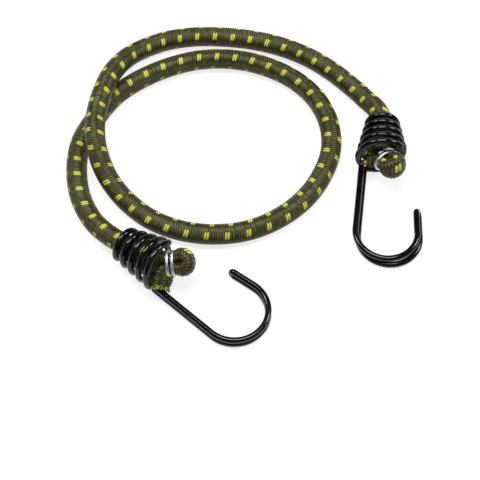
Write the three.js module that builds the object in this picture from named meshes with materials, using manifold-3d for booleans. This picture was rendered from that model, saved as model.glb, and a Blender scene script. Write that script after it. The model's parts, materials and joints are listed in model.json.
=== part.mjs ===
// A bungee cord: a braided elastic cord laid in one loose loop, with a coiled wire hook on each end.
// Each end of the cord runs into the cone of its hook, folds back into a knob and is clamped by a steel ring.
// Millimetres, +Z up. The cord lies on the surface z = 0, and the origin is midway between the hooks.
import * as THREE from 'three';
import { mergeVertices } from 'three/addons/utils/BufferGeometryUtils.js';
import Module from 'manifold-3d';

const degrees = THREE.MathUtils.degToRad;

// Cord
const cordDiameter = 8;
const sheathWall = 1;
const crossingGap = 0.5;
const cordSides = 12;
const boreSides = 8;
const strandSides = 5;
const cordSteps = 66;

// Hook, all of one coated wire
const wireDiameter = 2.6;
const wireSides = 8;
const coilTurns = 4.1;
const coilSteps = 16;
const turnGap = 2.1;
const coilFit = 0.62;
const coilFlare = 3.6;
const coilLean = degrees(8);
const leaveAngle = degrees(262);
const joinAngle = degrees(200);
const wrapTurns = 0.45;
const leadLength = 4;
const leadBend = 3;
const leadSteps = 6;
const layerGap = 0.45;
const layerLean = degrees(23);
const shankLength = 30.2;
const bendAngle = degrees(186);
const bendSteps = 13;
const tipLength = 8.8;
const tipSteps = 6;

// Clamped end of the cord
const clearance = 0.3;
const foldDepth = 4;
const neckSqueeze = 0.6;
const neckRun = 0.8;
const neckSteps = 6;
const roundSides = 16;
const knobRadius = 5.75;
const knobSteps = 8;
const ringWire = 1.3;
const ringTurns = 1.5;
const ringGap = 0.8;
const ringStart = degrees(-115);
const ringSteps = 16;
const ringSides = 6;
const tailRadius = 2.9;
const tailSides = 10;

// Each end: the narrow end of its coil on the surface, the way the coil points, the splay of the shank and
// the radius of the hook, then the middle of the ring, of the knob and of the cut tail from the wide end of
// the coil (outwards, towards the tip, up)
const ends = {
  left: {
    x: -48.2, y: -5.3, heading: -37, splay: 4.6, bendRadius: 13.5,
    ring: [4.7, 2.9, 0.5], knob: [7.2, 5, 1.2], tail: [2.2, -3.1, -3.2],
  },
  right: {
    x: 60.6, y: 54.3, heading: -94.5, splay: 2.6, bendRadius: 12.7,
    ring: [3.4, 1.8, 0.8], knob: [6.1, 3.8, 2.2], tail: [0.4, -3.2, -2.4],
  },
};

// Route of the free cord from the right coil to the left one: x, y and the share of the crossing's height
const route = [
  [58.9, 61.2, 0.22], [54.2, 68.4, 0], [48.2, 75.2, 0], [41.0, 82.4, 0], [31.1, 90.0, 0], [18.9, 96.2, 0],
  [5.5, 100.1, 0], [-8.7, 101.9, 0], [-22.6, 101.7, 0], [-36.1, 98.5, 0], [-47.5, 90.6, 0.25],
  [-54.5, 79.1, 0.72], [-58.5, 66.5, 1], [-60.9, 52.9, 1], [-60.3, 39.5, 0.98], [-55.7, 26.9, 0.46],
  [-47.3, 16.5, 0], [-36.7, 7.5, 0], [-23.9, 2.1, 0], [-10.0, 0.4, 0], [3.8, 2.4, 0], [16.3, 8.3, 0],
  [27.1, 17.6, 0], [34.5, 29.1, 0], [38.7, 42.4, 0], [37.9, 56.6, 0], [32.2, 69.3, 0], [22.7, 79.1, 0],
  [10.3, 85.9, 0], [-3.0, 89.3, 0], [-17.1, 89.2, 0], [-30.4, 85.5, 0], [-42.8, 79.1, 0], [-53.8, 70.2, 0],
  [-61.6, 58.8, 0], [-67.5, 46.2, 0], [-68.8, 32.4, 0], [-66.4, 18.3, 0], [-61.0, 7.4, 0],
  [-54.8, 0.1, 0.2],
];

const wasm = await Module();
wasm.setup();

const cordRadius = cordDiameter / 2;
const wireRadius = wireDiameter / 2;
const coilPitch = wireDiameter + turnGap;
const coilLength = coilTurns * coilPitch;
const coilStart = cordRadius + coilFit + wireRadius;
const coilEnd = coilStart + coilFlare;
const coilTilt = Math.atan(coilFlare / coilLength);
const layerStep = wireDiameter + layerGap;
const up = new THREE.Vector3(0, 0, 1);
const stack = new THREE.Vector3(0, -layerStep * Math.tan(layerLean), layerStep);

// A path through given stations. The section is carried along without twisting from the anchor station,
// or keeps its first side upwards at every station.
class StationPath extends THREE.Curve {
  constructor(stations, { anchor = 0, upright = false } = {}) {
    super();
    Object.assign(this, { stations, anchor, upright });
  }

  getSpacedPoints() {
    return this.stations;
  }

  computeFrenetFrames() {
    const last = this.stations.length - 1;
    const steps = this.stations.slice(1).map((p, i) => p.clone().sub(this.stations[i]).normalize());
    const tangents = this.stations.map((_, i) => {
      const before = steps[Math.max(i - 1, 0)];
      return before.clone().add(steps[Math.min(i, last - 1)]).normalize();
    });
    const square = (v, i) => v.clone().addScaledVector(tangents[i], -v.dot(tangents[i])).normalize();
    const normals = [];
    normals[this.anchor] = square(up, this.anchor);
    for (let i = this.anchor + 1; i <= last; i++) normals[i] = square(this.upright ? up : normals[i - 1], i);
    for (let i = this.anchor - 1; i >= 0; i--) normals[i] = square(this.upright ? up : normals[i + 1], i);
    const binormals = tangents.map((t, i) => new THREE.Vector3().crossVectors(t, normals[i]));
    return { tangents, normals, binormals };
  }
}

// A regular polygon with a flat at the bottom, as far across its flats as the round bar that it stands for.
function roundSection(radius, sides, x = 0, y = 0, Kind = THREE.Shape) {
  const reach = radius / Math.cos(Math.PI / sides);
  const points = [];
  for (let k = 0; k < sides; k++) {
    const angle = ((k + 0.5) / sides) * 2 * Math.PI;
    points.push(new THREE.Vector2(x + reach * Math.cos(angle), y + reach * Math.sin(angle)));
  }
  return new Kind(points);
}

function sweep(path, section) {
  return new THREE.ExtrudeGeometry(section, { steps: path.stations.length - 1, extrudePath: path });
}

// A solid of revolution about a line from a point, its profile given as radius and height along the line.
function turned(profile, sides, from, along) {
  const solid = new THREE.LatheGeometry(profile, sides);
  solid.applyQuaternion(new THREE.Quaternion().setFromUnitVectors(new THREE.Vector3(0, 1, 0), along));
  return solid.translate(from.x, from.y, from.z);
}

function toSolid(geometry) {
  const bare = geometry.clone();
  bare.deleteAttribute('normal');
  bare.deleteAttribute('uv');
  const merged = mergeVertices(bare, 1e-4);
  return new wasm.Manifold(new wasm.Mesh({
    numProp: 3,
    vertProperties: merged.attributes.position.array,
    triVerts: new Uint32Array(merged.index.array),
  }));
}

function toGeometry(solid) {
  const mesh = solid.getMesh();
  const geometry = new THREE.BufferGeometry();
  geometry.setAttribute('position', new THREE.BufferAttribute(mesh.vertProperties, 3));
  geometry.setIndex(new THREE.BufferAttribute(mesh.triVerts, 1));
  return geometry;
}

// Least gap of a wire to itself, between points further apart along it than the tightest fold of the wire.
function leastGap(stations, diameter) {
  const fine = [];
  stations.slice(1).forEach((p, i) => {
    for (let k = 0; k < 4; k++) fine.push(stations[i].clone().lerp(p, k / 4));
  });
  const run = [0];
  for (let i = 1; i < fine.length; i++) run[i] = run[i - 1] + fine[i].distanceTo(fine[i - 1]);
  let least = Infinity;
  fine.forEach((p, i) => {
    for (let j = i + 1; j < fine.length; j++) {
      if (run[j] - run[i] > 1.8 * diameter) least = Math.min(least, p.distanceTo(fine[j]) - diameter);
    }
  });
  return least.toFixed(2) + ' mm';
}

// The end's own frame has x outwards along the coil on the surface and y towards the hook's tip. The cone
// lies on its side, so its axis rises outwards and every turn touches the surface.
const axis = new THREE.Vector3(Math.cos(coilTilt), 0, Math.sin(coilTilt));
const axisUp = new THREE.Vector3(-Math.sin(coilTilt), 0, Math.cos(coilTilt));
const tipSide = new THREE.Vector3(0, 1, 0);
const coilFoot = new THREE.Vector3(0, 0, coilStart * Math.cos(coilTilt) + wireRadius);
const coilMouth = coilFoot.clone().addScaledVector(axis, coilLength);

// A point of the conical helix after so many turns from the narrow end. Turns lean back on the tip's side.
function helixPoint(turns) {
  const angle = leaveAngle + (coilTurns - turns) * 2 * Math.PI;
  const radius = coilStart + turns * coilPitch * Math.tan(coilTilt);
  const along = turns * coilPitch - radius * Math.cos(angle) * Math.tan(coilLean);
  return coilFoot.clone().addScaledVector(axis, along)
    .addScaledVector(tipSide, radius * Math.cos(angle))
    .addScaledVector(axisUp, radius * Math.sin(angle));
}

function helixTangent(turns) {
  return helixPoint(turns + 0.002).sub(helixPoint(turns - 0.002)).normalize();
}

// A smooth bend from one direction into another, without its first station.
function bend(from, fromWay, to, toWay, reach, steps) {
  const curve = new THREE.CubicBezierCurve3(
    from,
    from.clone().addScaledVector(fromWay, reach),
    to.clone().addScaledVector(toWay, -reach),
    to,
  );
  return curve.getPoints(steps).slice(1);
}

// One wire: the coil from its narrow end, out along the lower run of the shank, round the bend to the tip,
// back on top of itself to the coil, and over the top of the widest turn.
function hookStations({ splay, bendRadius }) {
  const stations = [];
  const turnSteps = Math.round(coilTurns * coilSteps);
  for (let k = 0; k <= turnSteps; k++) stations.push(helixPoint((coilTurns * k) / turnSteps));

  const outWay = new THREE.Vector3(1, 0, 0).applyAxisAngle(up, -degrees(splay));
  const acrossWay = tipSide.clone().applyAxisAngle(up, -degrees(splay));
  const upperDrop = coilMouth.z - wireRadius - stack.z;
  const shankSide = Math.sqrt(coilEnd ** 2 - upperDrop ** 2) + stack.y / 2;
  const shankStart = new THREE.Vector3(coilMouth.x + leadLength, -shankSide, wireRadius);
  stations.push(...bend(stations.at(-1), helixTangent(coilTurns), shankStart, outWay, leadBend, leadSteps));

  const bendCentre = shankStart.clone()
    .addScaledVector(outWay, shankLength)
    .addScaledVector(acrossWay, bendRadius);
  const lower = [];
  const anchor = stations.length;
  for (let k = 0; k <= bendSteps; k++) {
    const turn = (bendAngle * k) / bendSteps;
    lower.push(bendCentre.clone()
      .addScaledVector(acrossWay, -bendRadius * Math.cos(turn))
      .addScaledVector(outWay, bendRadius * Math.sin(turn)));
  }
  const homeWay = outWay.clone().applyAxisAngle(up, bendAngle);
  lower.push(lower.at(-1).clone().addScaledVector(homeWay, tipLength));
  stations.push(...lower);

  const tipCentre = lower.at(-1).clone().addScaledVector(stack, 0.5);
  for (let k = 1; k < tipSteps; k++) {
    const turn = (Math.PI * k) / tipSteps;
    stations.push(tipCentre.clone()
      .addScaledVector(stack, -0.5 * Math.cos(turn))
      .addScaledVector(homeWay, (stack.length() / 2) * Math.sin(turn)));
  }
  const upper = lower.map((p) => p.clone().add(stack)).reverse();
  stations.push(...upper);

  const shankEnd = shankStart.clone().add(stack);
  const joinTurns = coilTurns + (leaveAngle - joinAngle) / (2 * Math.PI);
  const backWay = outWay.clone().negate();
  stations.push(shankEnd);
  const joinPoint = helixPoint(joinTurns);
  stations.push(...bend(shankEnd, backWay, joinPoint, helixTangent(joinTurns), leadBend, leadSteps));
  const wrapSteps = Math.round(wrapTurns * coilSteps);
  for (let k = 1; k <= wrapSteps; k++) stations.push(helixPoint(joinTurns + k / coilSteps));
  return { stations, anchor };
}

const neckRadius = cordRadius - neckSqueeze;
const ringPitch = ringWire + ringGap;
const ringWidth = ringTurns * ringPitch + ringWire;
const ringReach = ringWire / 2 / Math.cos(Math.PI / ringSides);
const ringRadius = neckRadius / Math.cos(Math.PI / roundSides) + clearance + ringReach;

function fromMouth([outwards, towardsTip, upwards]) {
  return coilMouth.clone().add(new THREE.Vector3(outwards, towardsTip, upwards));
}

// The folded end of the cord: its leg out of the coil, the knob and the cut tail, joined into one solid.
function foldGeometry(place) {
  const ringMiddle = fromMouth(place.ring);
  const knobMiddle = fromMouth(place.knob);
  const knobWay = knobMiddle.clone().sub(ringMiddle).normalize();
  const legStart = coilMouth.clone().addScaledVector(axis, clearance - foldDepth);
  const ringBack = ringMiddle.clone().addScaledVector(knobWay, -ringWidth / 2 - clearance);
  const legEnd = ringBack.clone().addScaledVector(knobWay, -neckRun);
  const legTurn = legStart.clone().addScaledVector(axis, neckRun);
  const legBend = bend(legTurn, axis, legEnd, knobWay, foldDepth / 2, neckSteps);
  const legPath = [legStart, legTurn, ...legBend, knobMiddle];
  const leg = sweep(new StationPath(legPath), roundSection(neckRadius, roundSides));

  const knobFrom = ringWidth / 2 + clearance;
  const knobTo = knobMiddle.distanceTo(ringMiddle) + knobRadius;
  const bulge = new THREE.CubicBezierCurve(
    new THREE.Vector2(neckRadius, knobFrom),
    new THREE.Vector2(knobRadius * 1.2, knobFrom + clearance),
    new THREE.Vector2(knobRadius * 1.3, knobTo),
    new THREE.Vector2(0, knobTo),
  );
  const knobProfile = [new THREE.Vector2(0, knobFrom), ...bulge.getPoints(knobSteps)];
  const knob = turned(knobProfile, roundSides, ringMiddle, knobWay);

  const tailStart = ringBack.clone().addScaledVector(knobWay, -tailRadius);
  const tailEnd = fromMouth(place.tail);
  const tailWay = tailEnd.clone().sub(tailStart).normalize();
  const tailLength = tailEnd.distanceTo(tailStart);
  const tailProfile = [[0, 0], [tailRadius, 0], [tailRadius, tailLength], [0, tailLength]];
  const tail = turned(tailProfile.map(([r, h]) => new THREE.Vector2(r, h)), tailSides, tailStart, tailWay);
  return toGeometry(toSolid(leg).add(toSolid(knob)).add(toSolid(tail)));
}

// The hog ring: turns of plain wire round the neck of the fold.
function ringStations(place) {
  const ringMiddle = fromMouth(place.ring);
  const knobWay = fromMouth(place.knob).sub(ringMiddle).normalize();
  const ringUp = up.clone().addScaledVector(knobWay, -up.dot(knobWay)).normalize();
  const ringSide = new THREE.Vector3().crossVectors(ringUp, knobWay);
  const stations = [];
  for (let k = 0; k <= ringTurns * ringSteps; k++) {
    const turns = k / ringSteps;
    const angle = ringStart + turns * 2 * Math.PI;
    stations.push(ringMiddle.clone()
      .addScaledVector(knobWay, (turns - ringTurns / 2) * ringPitch)
      .addScaledVector(ringUp, ringRadius * Math.cos(angle))
      .addScaledVector(ringSide, ringRadius * Math.sin(angle)));
  }
  return stations;
}

function named(name, geometry, color, roughness, metalness) {
  const mesh = new THREE.Mesh(geometry, new THREE.MeshStandardMaterial({ color, roughness, metalness }));
  mesh.name = name;
  return mesh;
}

const part = new THREE.Group();
const groups = {};
const hookBox = new THREE.Box3();
for (const [side, place] of Object.entries(ends)) {
  const hook = hookStations(place);
  const hookPath = new StationPath(hook.stations, { anchor: hook.anchor });
  const hookGeometry = sweep(hookPath, roundSection(wireRadius, wireSides));
  console.log('least gap of the ' + side + ' hook wire to itself: ' + leastGap(hook.stations, wireDiameter));

  // The end is set down on the surface by the lowest point of its hook.
  hookGeometry.computeBoundingBox();
  const group = new THREE.Group();
  group.position.set(place.x, place.y, -hookGeometry.boundingBox.min.z);
  group.rotation.z = degrees(place.heading);
  const ring = ringStations(place);
  const ringGeometry = sweep(new StationPath(ring), roundSection(ringWire / 2, ringSides));
  console.log('least gap of the ' + side + ' ring wire to itself: ' + leastGap(ring, ringWire));
  const wire = named(side + '_hook', hookGeometry, 0x0b0b0d, 0.22, 0);
  group.add(wire);
  group.add(named(side + '_cord_fold', foldGeometry(place), 0x4c4c2b, 0.85, 0));
  group.add(named(side + '_hog_ring', ringGeometry, 0xc8c9cb, 0.25, 1));
  group.updateMatrixWorld(true);
  hookBox.union(new THREE.Box3().setFromObject(wire, true));
  groups[side] = group;
  part.add(group);
}

// The cord runs out of the right coil, round the loop and into the left coil.
const sheathShare = 1 - foldDepth / coilLength;
function inCoil(side, share) {
  return groups[side].localToWorld(coilFoot.clone().addScaledVector(axis, coilLength * share));
}
const crossingLift = cordDiameter + crossingGap;
const freeCord = route.map(([x, y, lift]) => new THREE.Vector3(x, y, cordRadius + lift * crossingLift));
const cordLine = new THREE.CatmullRomCurve3([
  ...[sheathShare, 0.45, 0].map((share) => inCoil('right', share)),
  ...freeCord,
  ...[0, 0.45, sheathShare].map((share) => inCoil('left', share)),
]);
cordLine.arcLengthDivisions = 1200;
const stations = cordLine.getSpacedPoints(cordSteps);
for (const p of stations) p.z = Math.max(p.z, cordRadius);
const cordPath = new StationPath(stations, { upright: true });
console.log('cord between its folded ends: ' + cordLine.getLength().toFixed(1) + ' mm');

const boreRadius = cordRadius - sheathWall;
const sheathSection = roundSection(cordRadius, cordSides);
sheathSection.holes.push(roundSection(boreRadius, boreSides, 0, 0, THREE.Path));
part.add(named('cord_sheath', sweep(cordPath, sheathSection), 0x4c4c2b, 0.85, 0));

// One rubber strand in the middle of the bore and six round it.
const strandReach = (boreRadius - 3 * clearance) / 3;
const strandRadius = strandReach * Math.cos(Math.PI / strandSides);
const strandRing = 2 * strandReach + clearance;
for (let k = 0; k <= 6; k++) {
  const angle = (k / 6) * 2 * Math.PI;
  const reach = k === 0 ? 0 : strandRing;
  const section = roundSection(strandRadius, strandSides, reach * Math.cos(angle), reach * Math.sin(angle));
  part.add(named('rubber_strand_' + (k + 1), sweep(cordPath, section), 0xc9b58a, 0.7, 0));
}

// The origin goes midway between the hooks, on the surface.
const middle = hookBox.getCenter(new THREE.Vector3());
part.position.set(-middle.x, -middle.y, 0);
part.updateMatrixWorld(true);
console.log('origin moved to ' + middle.x.toFixed(2) + ', ' + middle.y.toFixed(2));

export default part;
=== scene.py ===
import json
import math

import bpy
import numpy as np
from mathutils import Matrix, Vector


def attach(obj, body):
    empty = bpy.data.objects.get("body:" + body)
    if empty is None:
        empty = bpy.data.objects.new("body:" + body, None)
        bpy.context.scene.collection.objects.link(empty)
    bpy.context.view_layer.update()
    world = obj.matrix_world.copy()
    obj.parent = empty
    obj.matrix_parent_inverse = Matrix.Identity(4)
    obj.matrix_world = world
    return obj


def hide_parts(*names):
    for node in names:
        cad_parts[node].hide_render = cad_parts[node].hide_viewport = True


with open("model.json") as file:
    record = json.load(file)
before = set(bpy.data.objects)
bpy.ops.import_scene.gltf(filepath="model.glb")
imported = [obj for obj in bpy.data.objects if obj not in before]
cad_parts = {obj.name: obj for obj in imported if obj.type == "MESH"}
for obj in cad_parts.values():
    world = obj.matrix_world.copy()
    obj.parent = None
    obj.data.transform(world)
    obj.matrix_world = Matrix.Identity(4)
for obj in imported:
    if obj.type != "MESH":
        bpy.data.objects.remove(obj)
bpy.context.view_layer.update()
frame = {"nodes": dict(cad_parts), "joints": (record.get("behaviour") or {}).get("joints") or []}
mm = 0.001
up = np.array([0.0, 0.0, 1.0])
scene = bpy.context.scene
scene.view_settings.view_transform = "Standard"
print("frame loaded:", len(frame["nodes"]), "nodes")

# Camera: 60.5 degrees above the floor, long lens
cameraSet = {
    "lens": 101.25,
    "sensor": 36.0,
    "place": (-0.01197, -0.27625, 0.4841),
    "aim": (-0.01197, -0.00235, 0.0),
}
cameraData = bpy.data.cameras.new("camera")
cameraData.lens = cameraSet["lens"]
cameraData.sensor_width = cameraSet["sensor"]
camera = bpy.data.objects.new("camera", cameraData)
camera.location = cameraSet["place"]
lookWay = Vector(cameraSet["aim"]) - Vector(cameraSet["place"])
camera.rotation_euler = lookWay.to_track_quat("-Z", "Y").to_euler()
scene.collection.objects.link(camera)
scene.camera = camera
print("camera set")


# Vectors, lines and frames along them
def unit(v):
    return v / np.linalg.norm(v)


def rowsUnit(rows):
    return rows / np.linalg.norm(rows, axis=1)[:, None]


def squareTo(v, way):
    return unit(v - way * (v @ way))


def runOf(points):
    steps = np.linalg.norm(np.diff(points, axis=0), axis=1)
    return np.concatenate([[0.0], np.cumsum(steps)])


def at(run, values, distances):
    return np.stack([np.interp(distances, run, values[:, k]) for k in range(3)], axis=-1)


def eased(values, width):
    padded = np.pad(values, width // 2, mode="edge")
    return np.convolve(padded, np.ones(width) / width, mode="valid")


def smoothLine(points, perSpan):  # centripetal Catmull-Rom, as the CAD cord has
    points = np.asarray(points, float)
    before, after = 2 * points[0] - points[1], 2 * points[-1] - points[-2]
    padded = np.vstack([before, points, after])
    t = np.linspace(0, 1, perSpan, endpoint=False)[:, None]
    line = []
    for p0, p1, p2, p3 in zip(padded, padded[1:], padded[2:], padded[3:]):
        d0, d1, d2 = (math.sqrt(np.linalg.norm(b - a)) for a, b in ((p0, p1), (p1, p2), (p2, p3)))
        t1 = ((p1 - p0) / d0 - (p2 - p0) / (d0 + d1) + (p2 - p1) / d1) * d1
        t2 = ((p2 - p1) / d1 - (p3 - p1) / (d1 + d2) + (p3 - p2) / d2) * d1
        square = 3 * (p2 - p1) - 2 * t1 - t2
        cube = 2 * (p1 - p2) + t1 + t2
        line.append(p1 + t1 * t + square * t**2 + cube * t**3)
    return np.vstack(line + [points[-1:]])


def bezier(a, aWay, b, bWay, reach, steps):
    t = np.linspace(0, 1, steps + 1)[1:, None]
    c, d = a + aWay * reach, b - bWay * reach
    return (1 - t) ** 3 * a + 3 * t * (1 - t) ** 2 * c + 3 * t * t * (1 - t) * d + t**3 * b


def tangentsOf(points):
    steps = rowsUnit(np.diff(points, axis=0))
    return rowsUnit(np.vstack([steps[:1], steps[:-1] + steps[1:], steps[-1:]]))


def uprightFrames(points):
    tangents = tangentsOf(points)
    first = rowsUnit(up - tangents * (tangents @ up)[:, None])
    return first, np.cross(tangents, first)


def planeFrames(points, normal):
    tangents = tangentsOf(points)
    second = rowsUnit(normal - tangents * (tangents @ normal)[:, None])
    return np.cross(second, tangents), second


def carriedFrames(points):
    slantWay = np.array([0.31, 0.22, 0.92])  # no wire starts along this
    tangents = tangentsOf(points)
    first = [squareTo(slantWay, tangents[0])]
    for t in tangents[1:]:
        first.append(squareTo(first[-1], t))
    first = np.array(first)
    return first, np.cross(tangents, first)


# Meshes are gathered as loose parts, then made into one piece
def newParts():
    return {"verts": [], "faces": [], "slots": [], "fleck": [], "crestAndShade": [], "tone": [], "count": 0}


def addPart(parts, verts, faces, slot=0, fleck=0.0, crestAndShade=1.0, tone=0.5):
    start = parts["count"]
    parts["verts"].append(verts)
    parts["faces"] += [tuple(start + k for k in face) for face in faces]
    parts["slots"] += [slot] * len(faces)
    for key, value in (("fleck", fleck), ("crestAndShade", crestAndShade), ("tone", tone)):
        parts[key].append(np.broadcast_to(value, len(verts)))
    parts["count"] += len(verts)


def newPiece(name, parts, materials):
    mesh = bpy.data.meshes.new(name)
    mesh.from_pydata(np.vstack(parts["verts"]).tolist(), [], parts["faces"])
    for m in materials:
        mesh.materials.append(m)
    mesh.polygons.foreach_set("material_index", np.array(parts["slots"], np.int32))
    mesh.polygons.foreach_set("use_smooth", np.ones(len(mesh.polygons), bool))
    for key in ("fleck", "crestAndShade", "tone"):
        layer = mesh.attributes.new(key, "FLOAT", "POINT")
        layer.data.foreach_set("value", np.concatenate(parts[key]).astype(np.float32))
    mesh.update()
    piece = bpy.data.objects.new(name, mesh)
    scene.collection.objects.link(piece)
    return piece


def ringFaces(rings, sides):
    i = np.arange(rings - 1)[:, None] * sides
    j = np.arange(sides)[None, :]
    k = (j + 1) % sides
    return np.stack([i + j, i + k, i + sides + k, i + sides + j], axis=2).reshape(-1, 4).tolist()


def capFaces(ring, sides, tip, outwards):
    loop = [(ring * sides + j, ring * sides + (j + 1) % sides) for j in range(sides)]
    return [(a, b, tip) if outwards else (b, a, tip) for a, b in loop]


# A wire of round section along a line, with domed ends
wireSet = {
    "longWave": 5.3 * mm,
    "shortWave": 2.1 * mm,
    "waveShift": 1.3,
    "domeRings": 3,
}


def addWire(parts, line, radius, sides, waver=0.0, dome=0.5, slot=0, fleck=0.0):
    first, second = carriedFrames(line)
    tangents = tangentsOf(line)
    run = runOf(line)
    shortWave = np.sin(run / wireSet["shortWave"] + wireSet["waveShift"])
    size = 1 + waver * (np.sin(run / wireSet["longWave"]) + shortWave) / 2
    domeSteps = np.linspace(0, math.pi / 2, wireSet["domeRings"] + 2)[1:-1]
    centres, sizes, rows = [], [], []
    for turn in domeSteps[::-1]:
        centres.append(line[0] - tangents[0] * radius * dome * math.sin(turn))
        sizes.append(math.cos(turn))
        rows.append(0)
    centres += list(line)
    sizes += list(size)
    rows += list(range(len(line)))
    for turn in domeSteps:
        centres.append(line[-1] + tangents[-1] * radius * dome * math.sin(turn))
        sizes.append(math.cos(turn))
        rows.append(len(line) - 1)
    angle = np.linspace(0, 2 * math.pi, sides, endpoint=False)
    spokes = np.cos(angle)[None, :, None] * first[rows][:, None, :]
    spokes = spokes + np.sin(angle)[None, :, None] * second[rows][:, None, :]
    verts = np.array(centres)[:, None, :] + spokes * radius * np.array(sizes)[:, None, None]
    ends = np.array([line[0] - tangents[0] * radius * dome, line[-1] + tangents[-1] * radius * dome])
    rings = len(centres)
    faces = ringFaces(rings, sides)
    faces += capFaces(0, sides, rings * sides, False)
    faces += capFaces(rings - 1, sides, rings * sides + 1, True)
    addPart(parts, np.vstack([verts.reshape(-1, 3), ends]), faces, slot, fleck)


# Braid: eight columns of floats round the cord, leaning one way and the other by turns.
# Two neighbours among the eight carriers of one way are lime, so a fleck has two strips.
braid = {
    "lay": 8.05 * mm,
    "carriers": 8,
    "limeCarriers": 2,
    "ringsPerCarrier": 4,
    "pointsPerColumn": 5,
    "columns": 8,
    "crowd": math.radians(9),  # the side rows sit this much nearer to the top one
    "floatLean": 0.55,  # floats lie flatter than the carriers' helix
    "ribDepth": 0.25 * mm,
    "limeRise": 0.1 * mm,
    "deepest": 0.5,  # share of the reach that a groove may take
    "grooves": (0.5, 1.0, 0.5, 0.0),  # over a float and down to the groove beside it
    "limeRows": (0.85, 1.0, 0.85, 0.1),
    "limeEnds": (0.45, 1.0, 1.0, 1.0, 0.45),
    "ends": (0.55, 0.92, 1.0, 0.92, 0.55),  # a float dives under at both ends
    "seed": 3,
}
ringsPerLay = braid["carriers"] * braid["ringsPerCarrier"]
braidSides = braid["columns"] * braid["pointsPerColumn"]


def addBraid(parts, line, frames, section, layKnots, rowKnots, shadeKnots, plainRun=0.0, plainColumns=()):
    run = runOf(line)
    layDistances, layCounts = layKnots
    firstRing = math.ceil(layCounts[0] * ringsPerLay)
    lastRing = math.floor(layCounts[-1] * ringsPerLay)
    ring = np.arange(firstRing, lastRing + 1)[:, None]
    point = np.arange(braidSides)[None, :]
    column = point // braid["pointsPerColumn"]
    place = point % braid["pointsPerColumn"]
    leansBack = column % 2 == 1

    # the rings zigzag, so that they lie along the yarns
    share = (place - (braid["pointsPerColumn"] - 1) / 2) / braid["pointsPerColumn"]
    zigzag = np.where(leansBack, share, -share) * braid["floatLean"] / braid["columns"]
    count = np.clip(ring / ringsPerLay + zigzag, layCounts[0], layCounts[-1])
    distance = np.interp(count, layCounts, layDistances)
    angle = (column + share) * 2 * math.pi / braid["columns"]
    rowAngle = np.interp(distance, *rowKnots)
    angle = angle - braid["crowd"] * np.sin(angle) ** 3 + np.radians(rowAngle)

    step = ring + np.where(leansBack, braid["ringsPerCarrier"] // 2, 0)
    groove = np.array(braid["grooves"])[step % braid["ringsPerCarrier"]]
    height = groove * np.array(braid["ends"])[place]
    limeRings = braid["limeCarriers"] * braid["ringsPerCarrier"]
    layStep = (ring + limeRings // 2 + ringsPerLay * column // braid["columns"]) % ringsPerLay
    isLime = ~leansBack & (layStep < limeRings) & (distance >= plainRun) & ~np.isin(column, plainColumns)
    limeRow = np.array(braid["limeRows"])[step % braid["ringsPerCarrier"]]
    lime = isLime * limeRow * np.array(braid["limeEnds"])[place]
    floatRow = step // braid["ringsPerCarrier"]
    tones = np.random.default_rng(braid["seed"]).uniform(size=(np.ptp(floatRow) + 1, braid["columns"]))
    tone = tones[floatRow - floatRow.min(), column]

    centre = at(run, line, distance)
    first, second = (at(run, f, distance) for f in frames)
    halfOut, halfIn, halfSide = (np.interp(distance, run, s) for s in section)
    across = np.cos(angle) * np.where(np.cos(angle) > 0, halfOut, halfIn)
    sideways = np.sin(angle) * halfSide
    reach = np.sqrt(across**2 + sideways**2)
    depth = braid["ribDepth"] * (1 - height) - braid["limeRise"] * lime * height
    keep = 1 - np.minimum(depth / np.maximum(reach, mm), braid["deepest"])
    verts = centre + (across * keep)[..., None] * first + (sideways * keep)[..., None] * second
    verts[..., 2] = np.maximum(verts[..., 2], cordSet["floorGap"])
    faces = ringFaces(len(ring), braidSides)
    # the floats' height, times painted shade inside the coils; it sets only the colour
    crestAndShade = height * np.interp(distance, *shadeKnots)
    addPart(parts, verts.reshape(-1, 3), faces, 0, lime.ravel(), crestAndShade.ravel(), tone.ravel())
    return len(ring)


# The two ends of the cord.
# Offsets in mm run from the middle of the coil's wide turn: outwards, towards the hook's tip, up.
hookSet = {
    "wire": 2.6 * mm,
    "turns": 4.1,
    "turnGap": 2.1 * mm,
    "fit": 0.62 * mm,
    "flare": 3.6 * mm,
    "lean": math.radians(8),
    "leave": math.radians(262),
    "join": math.radians(200),
    "wrap": 7 / 16,
    "leadLength": 4 * mm,
    "leadBend": 3 * mm,
    "layerGap": 0.45 * mm,
    "standLean": math.radians(23),  # sets the shank's place, as in the CAD
    "shank": 30.2 * mm,
    "bend": math.radians(186),
    "stepsPerTurn": 48,
    "leadSteps": 14,
    "shankSteps": 36,
    "bendSteps": 60,
    "tipSteps": 12,
    "foldSteps": 13,
    "sides": 28,
    "waver": 0.012,  # share by which the coated wire's thickness varies
}
cordRadius = 4 * mm
wireRadius = hookSet["wire"] / 2
coilPitch = hookSet["wire"] + hookSet["turnGap"]
coilLength = hookSet["turns"] * coilPitch
coilStart = cordRadius + hookSet["fit"] + wireRadius
coilTilt = math.atan(hookSet["flare"] / coilLength)
endSet = {
    "left": {
        "splay": math.radians(4.6), "bendRadius": 13.5 * mm,
        "layerLean": 0.0, "nest": 0.0, "tipRun": 9.6 * mm,
        "ring": (4.7, 2.9, 0.5), "knob": (7.2, 5.0, 1.2), "tail": (6.3, -6.2, -4.4),
    },
    "right": {
        "splay": math.radians(2.6), "bendRadius": 12.7 * mm,
        "layerLean": math.radians(23), "nest": 1.1 * mm, "tipRun": 9.8 * mm,
        "ring": (3.4, 1.8, 0.8), "knob": (6.1, 3.8, 2.2), "tail": (0.8, -5.9, -2.4),
    },
}
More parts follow.
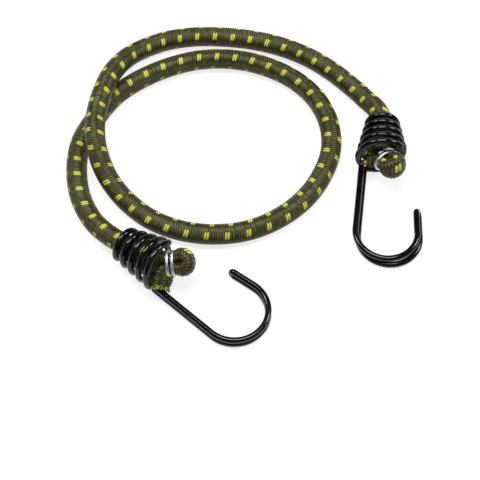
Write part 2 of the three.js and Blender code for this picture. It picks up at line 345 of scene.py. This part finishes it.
for side, end in endSet.items():
    joint = next(j for j in frame["joints"] if j["name"] == side + "_swivel")
    end["foot"] = np.array(joint["pos_m"])
    end["axis"] = unit(np.array(joint["axis"]))
    end["out"] = unit(end["axis"] * (1, 1, 0))
    end["tipWay"] = np.cross(up, end["out"])
    end["axisUp"] = np.cross(end["axis"], end["tipWay"])
    end["mouth"] = end["foot"] + end["axis"] * coilLength


def fromMouth(end, offset):
    outwards, tipwards, upwards = np.array(offset) * mm
    return end["mouth"] + end["out"] * outwards + end["tipWay"] * tipwards + up * upwards


# Free cord: the route from part.mjs (x, y, share of the crossing's height), right coil to left coil
routeSet = {
    "leftCoil": (-0.0482, -0.0053),  # the coil's foot, in the same frame as the route
    "crossingLift": 8.9 * mm,
}
route = np.array([
    [0.0589, 0.0612, 0.22], [0.0542, 0.0684, 0], [0.0482, 0.0752, 0], [0.0410, 0.0824, 0],
    [0.0311, 0.0900, 0], [0.0189, 0.0962, 0], [0.0055, 0.1001, 0], [-0.0087, 0.1019, 0],
    [-0.0226, 0.1017, 0], [-0.0361, 0.0985, 0], [-0.0475, 0.0906, 0.25], [-0.0545, 0.0791, 0.72],
    [-0.0585, 0.0665, 1], [-0.0609, 0.0529, 1], [-0.0603, 0.0395, 0.98], [-0.0557, 0.0269, 0.46],
    [-0.0473, 0.0165, 0], [-0.0367, 0.0075, 0], [-0.0239, 0.0021, 0], [-0.0100, 0.0004, 0],
    [0.0038, 0.0024, 0], [0.0163, 0.0083, 0], [0.0271, 0.0176, 0], [0.0345, 0.0291, 0],
    [0.0387, 0.0424, 0], [0.0379, 0.0566, 0], [0.0322, 0.0693, 0], [0.0227, 0.0791, 0],
    [0.0103, 0.0859, 0], [-0.0030, 0.0893, 0], [-0.0171, 0.0892, 0], [-0.0304, 0.0855, 0],
    [-0.0428, 0.0791, 0], [-0.0538, 0.0702, 0], [-0.0616, 0.0588, 0], [-0.0675, 0.0462, 0],
    [-0.0688, 0.0324, 0], [-0.0664, 0.0183, 0], [-0.0610, 0.0074, 0], [-0.0548, 0.0001, 0.2],
])
cordSet = {
    "length": 0.570,
    "foldDepth": 4 * mm,
    "bore": 3 * mm,
    "boreSides": 20,
    "boreStep": 8,
    "puff": 0.42 * mm,  # the yarns stand out over the plain tube, and lie flat on the floor
    "floorGap": 0.03 * mm,
    "slack": 2.6 * mm,  # the sheath opens out towards its folded ends
    "slackEase": 0.95,
    "nip": 0.17 * mm,  # the coil's first turn draws the braid in
    "nipLength": 2.4 * mm,
    "nipInside": 0.8,  # nip lengths from the coil's narrow end
    "coilShade": 0.45,  # painted shade: the braid inside the coils is darkened to this share
    "coilShadeReach": (0.8, 1.05),  # coil lengths over which that fades
    "coilMiddle": 0.45,
    "perSpan": 40,
    "anglePoints": 600,
    "angleEase": 21,
    "pathPoints": 280,
    # distance along the cord in mm, lime floats passed by then, and the row's angle from the top
    "rows": [
        (0, -3.45, -54), (20.4, -1.05, -54), (29.4, -0.05, -42), (60, 4, -36), (100, 9.04, -35),
        (124, 12.02, -38), (140, 14, -43), (150, 15, -48), (160, 16, -47), (177, 17.98, -35),
        (192, 19.98, -37), (214, 23, -46), (245, 26.77, -48), (277, 30.73, -39), (302, 33.69, -34),
        (321, 35.89, -24), (347, 38.95, -26), (388, 44.03, -26), (408, 46.58, -22), (428, 49.05, -18),
        (461, 52.96, -17), (484, 55.89, -13), (507, 58.9, -9), (530, 61.94, -3), (554, 64.98, -1),
        (570, 67.1, -2),
    ],
}
originShift = endSet["left"]["foot"][:2] - np.array(routeSet["leftCoil"])
freeCord = np.column_stack([
    route[:, :2] + originShift,
    cordRadius + route[:, 2] * routeSet["crossingLift"],
])
sheathShare = 1 - cordSet["foldDepth"] / coilLength


def inCoil(end, share):
    return end["foot"] + end["axis"] * coilLength * share


coilShares = (0, cordSet["coilMiddle"], sheathShare)
cordLine = smoothLine(
    [inCoil(endSet["right"], share) for share in coilShares[::-1]]
    + list(freeCord)
    + [inCoil(endSet["left"], share) for share in coilShares],
    cordSet["perSpan"],
)
cordLine[:, 2] = np.maximum(cordLine[:, 2], cordRadius)
rowTable = np.array(cordSet["rows"], float)
cordRun = runOf(cordLine)
fineRun = np.linspace(0, cordRun[-1], cordSet["anglePoints"])
rowAngles = eased(np.interp(fineRun / mm, rowTable[:, 0], rowTable[:, 2]), cordSet["angleEase"])
print("cord line: %.1f mm" % (cordRun[-1] / mm))


# Shader nodes
def addNode(tree, kind, **values):
    node = tree.nodes.new("ShaderNode" + kind)
    for key, value in values.items():
        if hasattr(node, key):
            setattr(node, key, value)
        else:
            node.inputs[key].default_value = value
    return node


def addNoise(tree, coords, scale, detail, roughness):
    noise = addNode(tree, "TexNoise", Detail=detail, Roughness=roughness)
    tree.links.new(coords, noise.inputs["Vector"])
    tree.links.new(scale, noise.inputs["Scale"])
    return noise.outputs["Fac"]


def mapRange(tree, value, low, high, toLow=0.0, toHigh=1.0):
    node = addNode(tree, "MapRange")
    tree.links.new(value, node.inputs["Value"])
    for key, number in (("From Min", low), ("From Max", high), ("To Min", toLow), ("To Max", toHigh)):
        node.inputs[key].default_value = number
    return node.outputs["Result"]


def mixColours(tree, factor, a, b):
    node = addNode(tree, "Mix", data_type="RGBA")
    tree.links.new(factor, node.inputs[0])
    for value, socket in ((a, node.inputs[6]), (b, node.inputs[7])):
        if isinstance(value, tuple):
            socket.default_value = (*value, 1.0)
        else:
            tree.links.new(value, socket)
    return node.outputs[2]


def maths(tree, operation, a, b):
    node = addNode(tree, "Math", operation=operation)
    for value, socket in ((a, node.inputs[0]), (b, node.inputs[1])):
        if isinstance(value, (int, float)):
            socket.default_value = value
        else:
            tree.links.new(value, socket)
    return node.outputs[0]


# Shared effects, as node groups: a noise for each output, with its scale as an input
effectSet = {
    "fibreGrain": {
        "Fibre": {"input": "Fine", "scale": 3200.0, "detail": 2.0, "roughness": 0.6, "range": (0.3, 0.7)},
        "Blotch": {"input": "Broad", "scale": 95.0, "detail": 3.0, "roughness": 0.6, "range": (0.35, 0.65)},
    },
    "handlingMarks": {
        "Smudges": {"input": "Smudge", "scale": 60.0, "detail": 2.0, "roughness": 0.5, "range": (0.4, 0.7)},
        "Scuffs": {"input": "Scuff", "scale": 900.0, "detail": 2.0, "roughness": 0.7, "range": (0.62, 0.72)},
    },
}


def makeEffect(name):
    group = bpy.data.node_groups.new(name, "ShaderNodeTree")
    effects = effectSet[name]
    for effect in effects.values():
        socket = group.interface.new_socket(effect["input"], in_out="INPUT", socket_type="NodeSocketFloat")
        socket.default_value = effect["scale"]
    for output in effects:
        group.interface.new_socket(output, in_out="OUTPUT", socket_type="NodeSocketFloat")
    given, made = group.nodes.new("NodeGroupInput"), group.nodes.new("NodeGroupOutput")
    coords = addNode(group, "TexCoord").outputs["Object"]
    for output, effect in effects.items():
        scale = given.outputs[effect["input"]]
        noise = addNoise(group, coords, scale, effect["detail"], effect["roughness"])
        group.links.new(mapRange(group, noise, *effect["range"]), made.inputs[output])
    return group


fibreGrain = makeEffect("fibreGrain")
handlingMarks = makeEffect("handlingMarks")


def newMaterial(name):
    material = bpy.data.materials.new(name)
    material.use_nodes = True
    tree = material.node_tree
    return material, tree, tree.nodes["Principled BSDF"]


def useGroup(tree, group, **values):
    node = tree.nodes.new("ShaderNodeGroup")
    node.node_tree = group
    for key, value in values.items():
        node.inputs[key].default_value = value
    return node.outputs


def addBump(tree, shader, height, look):
    bump = addNode(tree, "Bump", Strength=look["bump"], Distance=look["bumpDepth"])
    tree.links.new(height, bump.inputs["Height"])
    tree.links.new(bump.outputs["Normal"], shader.inputs["Normal"])


braidLook = {
    # the groove colours are painted shade: they darken the braid between its floats, and its bore and caps
    "oliveShadedGroove": (0.006, 0.006, 0.002),
    "oliveYarn": (0.042, 0.044, 0.011),
    "olivePale": (0.30, 0.30, 0.13),
    "oliveBrown": (0.056, 0.047, 0.018),
    "limeShadedGroove": (0.31, 0.33, 0.025),
    "limeYarn": (0.71, 0.75, 0.13),
    "limeGold": (0.60, 0.42, 0.03),
    "brownShare": 0.5,
    "goldShare": 0.3,
    # ranges over which the painted groove shade gives way to the yarn colour
    "oliveShadeMask": (0.1, 1.0),
    "limeShadeMask": (0.0, 0.6),
    "fleckEdge": (0.1, 0.4),
    "roughness": (0.36, 0.5),
    "specular": 0.36,
    "sheen": (1.0, 1.0, 0.55),
    "bump": 0.35,
    "bumpDepth": 0.08 * mm,
}


def makeBraidMaterial():
    material, tree, shader = newMaterial("braid")
    grain = useGroup(tree, fibreGrain, Fine=3200.0, Broad=95.0)
    fleck = addNode(tree, "Attribute", attribute_name="fleck").outputs["Fac"]
    crestAndShade = addNode(tree, "Attribute", attribute_name="crestAndShade").outputs["Fac"]
    yarn = addNode(tree, "Attribute", attribute_name="tone").outputs["Fac"]
    paleness = maths(tree, "MULTIPLY", maths(tree, "ADD", yarn, grain["Fibre"]), 0.5)
    tone = mixColours(tree, paleness, braidLook["oliveYarn"], braidLook["olivePale"])
    brown = maths(tree, "MULTIPLY", grain["Blotch"], braidLook["brownShare"])
    tone = mixColours(tree, brown, tone, braidLook["oliveBrown"])
    # painted shade: the colour darkens from crest to groove, and inside the coils
    oliveShadeMask = mapRange(tree, crestAndShade, *braidLook["oliveShadeMask"])
    olive = mixColours(tree, oliveShadeMask, braidLook["oliveShadedGroove"], tone)
    gold = maths(tree, "MULTIPLY", grain["Blotch"], braidLook["goldShare"])
    bright = mixColours(tree, gold, braidLook["limeYarn"], braidLook["limeGold"])
    limeShadeMask = mapRange(tree, crestAndShade, *braidLook["limeShadeMask"])
    lime = mixColours(tree, limeShadeMask, braidLook["limeShadedGroove"], bright)
    colour = mixColours(tree, mapRange(tree, fleck, *braidLook["fleckEdge"]), olive, lime)
    tree.links.new(colour, shader.inputs["Base Color"])
    roughness = mapRange(tree, grain["Fibre"], 0, 1, *braidLook["roughness"])
    tree.links.new(roughness, shader.inputs["Roughness"])
    shader.inputs["Specular IOR Level"].default_value = braidLook["specular"]
    shader.inputs["Specular Tint"].default_value = (*braidLook["sheen"], 1.0)
    addBump(tree, shader, grain["Fibre"], braidLook)
    return material


wireLook = {
    "black": (0.002, 0.002, 0.0024),
    "grey": (0.005, 0.005, 0.006),
    "roughness": (0.12, 0.17),
    "specular": 0.45,
    "bump": 0.03,
    "bumpDepth": 0.2 * mm,
}


def makeWireMaterial():
    material, tree, shader = newMaterial("blackCoating")
    marks = useGroup(tree, handlingMarks, Smudge=70.0, Scuff=1100.0)
    colour = mixColours(tree, marks["Smudges"], wireLook["black"], wireLook["grey"])
    tree.links.new(colour, shader.inputs["Base Color"])
    roughness = mapRange(tree, marks["Smudges"], 0, 1, *wireLook["roughness"])
    tree.links.new(roughness, shader.inputs["Roughness"])
    shader.inputs["Specular IOR Level"].default_value = wireLook["specular"]
    addBump(tree, shader, marks["Smudges"], wireLook)
    return material


ringLook = {
    "steel": (0.82, 0.82, 0.83),
    "dull": (0.62, 0.62, 0.63),
    "roughness": (0.42, 0.52),
    "bump": 0.1,
    "bumpDepth": 0.03 * mm,
}


def makeRingMaterial():
    material, tree, shader = newMaterial("ringSteel")
    marks = useGroup(tree, handlingMarks, Smudge=260.0, Scuff=2400.0)
    colour = mixColours(tree, marks["Smudges"], ringLook["steel"], ringLook["dull"])
    tree.links.new(colour, shader.inputs["Base Color"])
    shader.inputs["Metallic"].default_value = 1.0
    roughness = mapRange(tree, marks["Scuffs"], 0, 1, *ringLook["roughness"])
    tree.links.new(roughness, shader.inputs["Roughness"])
    addBump(tree, shader, marks["Scuffs"], ringLook)
    return material


rubberLook = {
    "latex": (0.50, 0.38, 0.20),
    "dusty": (0.62, 0.54, 0.38),
    "roughness": 0.7,
    "bump": 0.2,
    "bumpDepth": 0.05 * mm,
}


def makeRubberMaterial():
    material, tree, shader = newMaterial("latex")
    grain = useGroup(tree, fibreGrain, Fine=2000.0, Broad=180.0)
    colour = mixColours(tree, grain["Blotch"], rubberLook["latex"], rubberLook["dusty"])
    tree.links.new(colour, shader.inputs["Base Color"])
    shader.inputs["Roughness"].default_value = rubberLook["roughness"]
    addBump(tree, shader, grain["Fibre"], rubberLook)
    return material


braidMaterial = makeBraidMaterial()
wireMaterial = makeWireMaterial()
ringMaterial = makeRingMaterial()
rubberMaterial = makeRubberMaterial()
print("materials made")


# Braided sheath, hollow, over the rubber strands
def makeSheath():
    parts = newParts()
    frames = uprightFrames(cordLine)
    coilRun = sheathShare * coilLength
    toEnd = np.minimum(cordRun, cordRun[-1] - cordRun)
    opening = cordSet["slack"] * np.clip(1 - toEnd / coilRun, 0, 1) ** cordSet["slackEase"]
    fromNip = (toEnd - coilRun) / cordSet["nipLength"] + cordSet["nipInside"]
    nipped = cordSet["nip"] * np.exp(-(fromNip**2))
    section = [cordRadius + cordSet["puff"] + opening - nipped] * 3
    layKnots = (rowTable[:, 0] * mm, rowTable[:, 1])
    layKnots[0][-1] = cordRun[-1]
    # painted shade: the braid darkens inside both coils, fading out towards the free cord
    dark, unshaded = (share * coilRun for share in cordSet["coilShadeReach"])
    shadeRun = [dark, unshaded, cordRun[-1] - unshaded, cordRun[-1] - dark]
    shadeKnots = shadeRun, [cordSet["coilShade"], 1, 1, cordSet["coilShade"]]
    rings = addBraid(parts, cordLine, frames, section, layKnots, (fineRun, rowAngles), shadeKnots)

    # plain bore, and a rim at each end
    picks = np.linspace(0, cordRun[-1], rings // cordSet["boreStep"])
    sides = cordSet["boreSides"]
    angle = np.linspace(0, 2 * math.pi, sides, endpoint=False)
    centre = at(cordRun, cordLine, picks)[:, None, :]
    first, second = (at(cordRun, f, picks)[:, None, :] for f in frames)
    spokes = np.cos(angle)[None, :, None] * first + np.sin(angle)[None, :, None] * second
    bore = (centre + spokes * cordSet["bore"]).reshape(-1, 3)
    # the bore takes the groove colour: painted shade inside the sheath
    addPart(parts, bore, [face[::-1] for face in ringFaces(len(picks), sides)], 0, 0.0, 0.0)
    boreStart = rings * braidSides
    perSide = braidSides // sides
    angleShift = np.radians(rowAngles[[0, -1]]) / (2 * math.pi) * sides
    for outerRing, innerRing, turn, shift in (
        (0, 0, -1, angleShift[0]),
        (rings - 1, len(picks) - 1, 1, angleShift[1]),
    ):
        for j in range(sides):
            a = boreStart + innerRing * sides + int(round(j + shift)) % sides
            b = boreStart + innerRing * sides + int(round(j + 1 + shift)) % sides
            outer = [outerRing * braidSides + (j * perSide + k) % braidSides for k in range(perSide + 1)]
            face = (*outer, b, a)[::turn]
            parts["faces"].append(face)
            parts["slots"].append(0)
    return newPiece("cord_braid", parts, [braidMaterial])


sheath = makeSheath()
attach(sheath, "cord")
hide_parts("cord_sheath")
print("sheath:", len(sheath.data.polygons), "faces")


# Hook: coil, lower run, bend, tip, upper run and the wrap over the widest turn, all one wire
def helixPoint(end, turns):
    angle = hookSet["leave"] + (hookSet["turns"] - turns) * 2 * math.pi
    radius = coilStart + turns * coilPitch * math.tan(coilTilt)
    outwards = turns * coilPitch - radius * math.cos(angle) * math.tan(hookSet["lean"])
    spoke = end["tipWay"] * math.cos(angle) + end["axisUp"] * math.sin(angle)
    return end["foot"] + end["axis"] * outwards + spoke * radius


def helixWay(end, turns):
    nearby = 0.002
    return unit(helixPoint(end, turns + nearby) - helixPoint(end, turns - nearby))


def turnedAbout(v, way, angle):
    return v * math.cos(angle) + np.cross(way, v) * math.sin(angle)


def hookLine(end):
    steps = hookSet["stepsPerTurn"]
    line = [helixPoint(end, t) for t in np.linspace(0, hookSet["turns"], int(hookSet["turns"] * steps))]
    outWay = turnedAbout(end["out"], up, -end["splay"])
    acrossWay = np.cross(up, outWay)
    floorLevel = end["foot"][2] - coilStart * math.cos(coilTilt) - wireRadius
    layerStep = hookSet["wire"] + hookSet["layerGap"]
    stackLean = layerStep * math.tan(hookSet["standLean"])
    stack = up * layerStep - end["tipWay"] * layerStep * math.tan(end["layerLean"])
    upperDrop = end["mouth"][2] - floorLevel - wireRadius - layerStep
    coilEnd = coilStart + hookSet["flare"]
    shankSide = math.sqrt(coilEnd**2 - upperDrop**2) - stackLean / 2
    mouthOut = coilLength * math.cos(coilTilt) + hookSet["leadLength"]
    start = end["foot"] + end["out"] * mouthOut - end["tipWay"] * shankSide
    start[2] = floorLevel + wireRadius
    leadWay = helixWay(end, hookSet["turns"])
    line += list(bezier(line[-1], leadWay, start, outWay, hookSet["leadBend"], hookSet["leadSteps"]))

    centre = start + outWay * hookSet["shank"] + acrossWay * end["bendRadius"]
    turn = np.linspace(0, hookSet["bend"], hookSet["bendSteps"])[:, None]
    arc = centre + end["bendRadius"] * (outWay * np.sin(turn) - acrossWay * np.cos(turn))
    homeWay = turnedAbout(outWay, up, hookSet["bend"])
    straight = start + outWay * np.linspace(0, hookSet["shank"], hookSet["shankSteps"])[1:-1, None]
    tipRun = arc[-1] + homeWay * np.linspace(0, end["tipRun"], hookSet["tipSteps"])[1:, None]
    lower = np.vstack([straight, arc, tipRun])
    inner = arc - (arc - centre) * np.sin(turn) * end["nest"] / end["bendRadius"]
    upper = np.vstack([straight, inner, tipRun])[::-1] + stack
    fold = np.linspace(0, math.pi, hookSet["foldSteps"])[1:-1, None]
    foldReach = np.linalg.norm(stack) / 2
    tip = lower[-1] + stack / 2 - stack / 2 * np.cos(fold) + homeWay * foldReach * np.sin(fold)
    line += [*lower, *tip, *upper, start + stack]
    joinTurns = hookSet["turns"] + (hookSet["leave"] - hookSet["join"]) / (2 * math.pi)
    joinPoint, joinWay = helixPoint(end, joinTurns), helixWay(end, joinTurns)
    line += list(bezier(line[-1], -outWay, joinPoint, joinWay, hookSet["leadBend"], hookSet["leadSteps"]))
    wrap = np.linspace(0, hookSet["wrap"], int(hookSet["wrap"] * steps))[1:]
    line += [helixPoint(end, joinTurns + t) for t in wrap]
    return np.array(line)


for side, end in endSet.items():
    parts = newParts()
    addWire(parts, hookLine(end), wireRadius, hookSet["sides"], hookSet["waver"])
    hook = newPiece(side + "_wire_hook", parts, [wireMaterial])
    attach(hook, side + "_hook")
    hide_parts(side + "_hook")
print("hooks made")

# Hog ring: one and a half turns of plain wire round the neck of the fold
ringSet = {
    "wire": 1.45 * mm,
    "turns": 1.5,
    "gap": 0.7 * mm,
    "start": {"left": math.radians(-20), "right": math.radians(70)},
    "halfLong": 5.1 * mm,
    "halfShort": 3.7 * mm,
    "stepsPerTurn": 48,
    "sides": 16,
    "dome": 0.25,
}
ringPitch = ringSet["wire"] + ringSet["gap"]
ringHalf = (ringSet["turns"] * ringPitch + ringSet["wire"]) / 2


def clampFrame(end):
    middle = fromMouth(end, end["ring"])
    knobWay = unit(fromMouth(end, end["knob"]) - middle)
    tailWay = squareTo(fromMouth(end, end["tail"]) - middle, knobWay)
    return middle, knobWay, tailWay, np.cross(tailWay, knobWay)


def ringLine(side, end):
    middle, knobWay, tailWay, faceWay = clampFrame(end)
    turns = np.linspace(0, ringSet["turns"], int(ringSet["turns"] * ringSet["stepsPerTurn"]) + 1)[:, None]
    angle = ringSet["start"][side] + turns * 2 * math.pi
    spokes = tailWay * ringSet["halfLong"] * np.cos(angle) + faceWay * ringSet["halfShort"] * np.sin(angle)
    return middle + knobWay * (turns - ringSet["turns"] / 2) * ringPitch + spokes


for side, end in endSet.items():
    parts = newParts()
    addWire(parts, ringLine(side, end), ringSet["wire"] / 2, ringSet["sides"], dome=ringSet["dome"])
    ring = newPiece(side + "_steel_ring", parts, [ringMaterial])
    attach(ring, "cord")
    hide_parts(side + "_hog_ring")
print("rings made")

# Folded end: out of the coil, through the ring, round a tight bight and back to a frayed cut tail
foldSet = {
    "legGap": 2.15 * mm,
    "legOut": 1.2 * mm,
    "legSpread": 0.5 * mm,
    "knobOut": 1.7 * mm,
    "knobTurn": 3.1 * mm,
    "knobSweep": (12, 38, 64, 90, 116, 142, 168),  # degrees
    "tailOut": 0.7 * mm,
    "tailBend": 0.55,  # share of the way from the ring to the cut
    # half sizes in mm along the line: away from the other leg, towards it, and sideways
    "legSizes": [(6.8, 6.8, 6.8), (6.4, 6.2, 6.4), (3.7, 3.4, 4.5), (2.4, 2.6, 3.0), (2.4, 2.6, 3.2)],
    "knobSizes": [
        (2.9, 3.4, 4.1), (3.15, 3.3, 4.6), (3.1, 3.1, 4.8), (3.0, 3.1, 4.8),
        (3.1, 3.1, 4.8), (3.15, 3.3, 4.6), (2.9, 3.4, 4.1),
    ],
    "tailSizes": [(2.4, 2.6, 3.2), (2.4, 2.6, 3.0), (4.3, 3.6, 3.4), (4.6, 5.6, 3.2), (3.7, 5.0, 2.7)],
    "perSpan": 16,
    "sizeEase": 11,
    "phase": {"left": 1.0, "right": 0.86},
    "rowAngle": {"left": 27.0, "right": 15.0},
    "plainRun": {"left": 11 * mm, "right": 0.0},  # no flecks up to here: they are turned inwards
    "plainColumns": {"left": (2,), "right": ()},
    # painted shade on the leg inside the coil mouth, fading out between these distances
    "coilShadeRun": (6 * mm, 12 * mm),
    "capDepth": 0.6 * mm,
    "seed": 11,
    "tufts": {  # length, bend and radius in mm
        "count": 34,
        "lime": {"left": 0.3, "right": 0.06},
        "stray": 0.3,
        "edge": (0.84, 0.93),
        "depth": 0.9 * mm,
        "flare": (-0.1, 0.5),
        "length": (0.9, 2.0),
        "bend": 0.5,
        "radius": (0.26, 0.42),
        "points": 6,
        "sides": 6,
        "dome": 1.2,
    },
    "strands": {
        "count": 7,
        "circle": 1.35 * mm,
        "stops": (-1.2, -0.4, 0.2),  # in mm from the cut
        "radius": 0.55 * mm,
        "sides": 8,
        "dome": 0.3,
    },
}


def foldLine(end):
    middle, knobWay, tailSide, normal = clampFrame(end)
    leg, tail = -tailSide * foldSet["legGap"], tailSide * foldSet["legGap"]
    inRing = knobWay * ringHalf / 2
    legRoot = middle - knobWay * (ringHalf + foldSet["legOut"]) + leg - tailSide * foldSet["legSpread"]
    tailRoot = middle - knobWay * (ringHalf + foldSet["tailOut"]) + tail
    tailEnd = fromMouth(end, end["tail"])
    knobCentre = middle + knobWay * (ringHalf + foldSet["knobOut"])
    sweep = np.radians(foldSet["knobSweep"])[:, None]
    line = smoothLine([
        end["mouth"] - end["axis"] * cordSet["foldDepth"],
        end["mouth"] - end["axis"] * cordSet["foldDepth"] / 2,
        legRoot,
        middle - inRing + leg,
        middle + inRing + leg,
        *(knobCentre + foldSet["knobTurn"] * (knobWay * np.sin(sweep) - tailSide * np.cos(sweep))),
        middle + inRing + tail,
        middle - inRing + tail,
        tailRoot,
        tailRoot + (tailEnd - tailRoot) * foldSet["tailBend"],
        tailEnd,
    ], foldSet["perSpan"])
    run = runOf(line)
    sizes = np.array(foldSet["legSizes"] + foldSet["knobSizes"] + foldSet["tailSizes"]) * mm
    section = [np.interp(run, run[:: foldSet["perSpan"]], size) for size in sizes.T]
    return line, planeFrames(line, normal), [eased(size, foldSet["sizeEase"]) for size in section]


def addFray(parts, side, tailEnd, tailWay, first, second, halfFirst, halfSecond):
    random = np.random.default_rng(foldSet["seed"] + len(side))
    tufts, strands = foldSet["tufts"], foldSet["strands"]
    share = np.linspace(0, 1, tufts["points"])[:, None]
    for k in range(tufts["count"]):
        around = (k + random.uniform(-tufts["stray"], tufts["stray"])) / tufts["count"] * 2 * math.pi
        spoke = first * math.cos(around) * halfFirst + second * math.sin(around) * halfSecond
        root = tailEnd + spoke * random.uniform(*tufts["edge"]) - tailWay * tufts["depth"]
        lean = unit(tailWay + unit(spoke) * random.uniform(*tufts["flare"]))
        length = random.uniform(*tufts["length"]) * mm
        bend = np.cross(lean, unit(spoke)) * random.uniform(-tufts["bend"], tufts["bend"]) * mm
        tuft = root + lean * length * share + bend * share**2
        fleck = 1.0 if random.uniform() < tufts["lime"][side] else 0.0
        radius = random.uniform(*tufts["radius"]) * mm
        addWire(parts, tuft, radius, tufts["sides"], dome=tufts["dome"], fleck=fleck)
    for k in range(strands["count"]):
        around = k / (strands["count"] - 1) * 2 * math.pi
        reach = 0 if k == 0 else strands["circle"]
        root = tailEnd + (first * math.cos(around) + second * math.sin(around)) * reach
        strand = root + tailWay * np.array(strands["stops"])[:, None] * mm
        addWire(parts, strand, strands["radius"], strands["sides"], dome=strands["dome"], slot=1)


def makeFold(side, end):
    line, frames, section = foldLine(end)
    length = runOf(line)[-1]
    parts = newParts()
    phase = foldSet["phase"][side]
    layKnots = (0, length), (phase, phase + length / braid["lay"])
    rowKnots = (0,), (foldSet["rowAngle"][side],)
    shadeKnots = foldSet["coilShadeRun"], (cordSet["coilShade"], 1.0)
    plain = foldSet["plainRun"][side], foldSet["plainColumns"][side]
    count = addBraid(parts, line, frames, section, layKnots, rowKnots, shadeKnots, *plain)

    # close the leg inside the coil, and the tail behind its frayed edge
    tailWay = tangentsOf(line)[-1]
    capPoints = np.array([line[0], line[-1] - tailWay * foldSet["capDepth"]])
    # the caps take the groove colour: painted shade
    addPart(parts, capPoints, [], 0, 0.0, 0.0)
    tip = count * braidSides
    caps = capFaces(0, braidSides, tip, False) + capFaces(count - 1, braidSides, tip + 1, True)
    parts["faces"] += caps
    parts["slots"] += [0] * len(caps)
    addFray(parts, side, line[-1], tailWay, frames[0][-1], frames[1][-1], section[0][-1], section[2][-1])
    return newPiece(side + "_cord_bight", parts, [braidMaterial, rubberMaterial])


for side, end in endSet.items():
    fold = makeFold(side, end)
    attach(fold, "cord")
    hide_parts(side + "_cord_fold")
print("folds made")

for name, node in frame["nodes"].items():
    if name.startswith("rubber_strand"):
        node.data.materials.clear()
        node.data.materials.append(rubberMaterial)

# Floor, lights and world
stageSet = {
    "floorSize": 8.0,
    "floor": (0.28, 0.28, 0.28),
    "roughness": 0.9,
    "specular": 0.1,
    "glow": 0.8,
    "world": 0.06,
    "lampAim": (0, 0.03, 0),
}


def makeFloor():
    half = stageSet["floorSize"] / 2
    corners = [(-half, -half, 0), (half, -half, 0), (half, half, 0), (-half, half, 0)]
    mesh = bpy.data.meshes.new("floor")
    mesh.from_pydata(corners, [], [(0, 1, 2, 3)])
    floor = bpy.data.objects.new("floor", mesh)
    scene.collection.objects.link(floor)
    material, tree, shader = newMaterial("floor")
    shader.inputs["Base Color"].default_value = (*stageSet["floor"], 1.0)
    shader.inputs["Roughness"].default_value = stageSet["roughness"]
    shader.inputs["Specular IOR Level"].default_value = stageSet["specular"]
    path = addNode(tree, "LightPath")
    seen = maths(tree, "MAXIMUM", path.outputs["Is Camera Ray"], path.outputs["Is Glossy Ray"])
    seen = maths(tree, "MAXIMUM", seen, path.outputs["Is Transmission Ray"])
    glow = maths(tree, "MULTIPLY", seen, stageSet["glow"])
    shader.inputs["Emission Color"].default_value = (1, 1, 1, 1)
    tree.links.new(glow, shader.inputs["Emission Strength"])
    mesh.materials.append(material)


def makeLamp(name, place, size, power):
    data = bpy.data.lights.new(name, "AREA")
    data.shape = "RECTANGLE"
    data.size, data.size_y = size
    data.energy = power
    lamp = bpy.data.objects.new(name, data)
    lamp.location = place
    lamp.rotation_euler = (Vector(stageSet["lampAim"]) - Vector(place)).to_track_quat("-Z", "Y").to_euler()
    scene.collection.objects.link(lamp)


makeFloor()
lampSet = {
    "topLamp": {"place": (0.0, 0.12, 1.05), "size": (0.5, 0.34), "power": 6.6},
    "leftLamp": {"place": (-0.55, 0.25, 0.85), "size": (0.18, 0.3), "power": 3.6},
    "rightLamp": {"place": (0.7, 0.2, 0.7), "size": (0.18, 0.3), "power": 3.6},
    "frontLamp": {"place": (0.0, -0.55, 1.0), "size": (0.8, 0.8), "power": 0.6},
}
for name, lamp in lampSet.items():
    makeLamp(name, lamp["place"], lamp["size"], lamp["power"])
world = bpy.data.worlds.new("studio")
scene.world = world
world.use_nodes = True
background = world.node_tree.nodes["Background"]
background.inputs["Color"].default_value = (1, 1, 1, 1)
background.inputs["Strength"].default_value = stageSet["world"]
print("stage made")
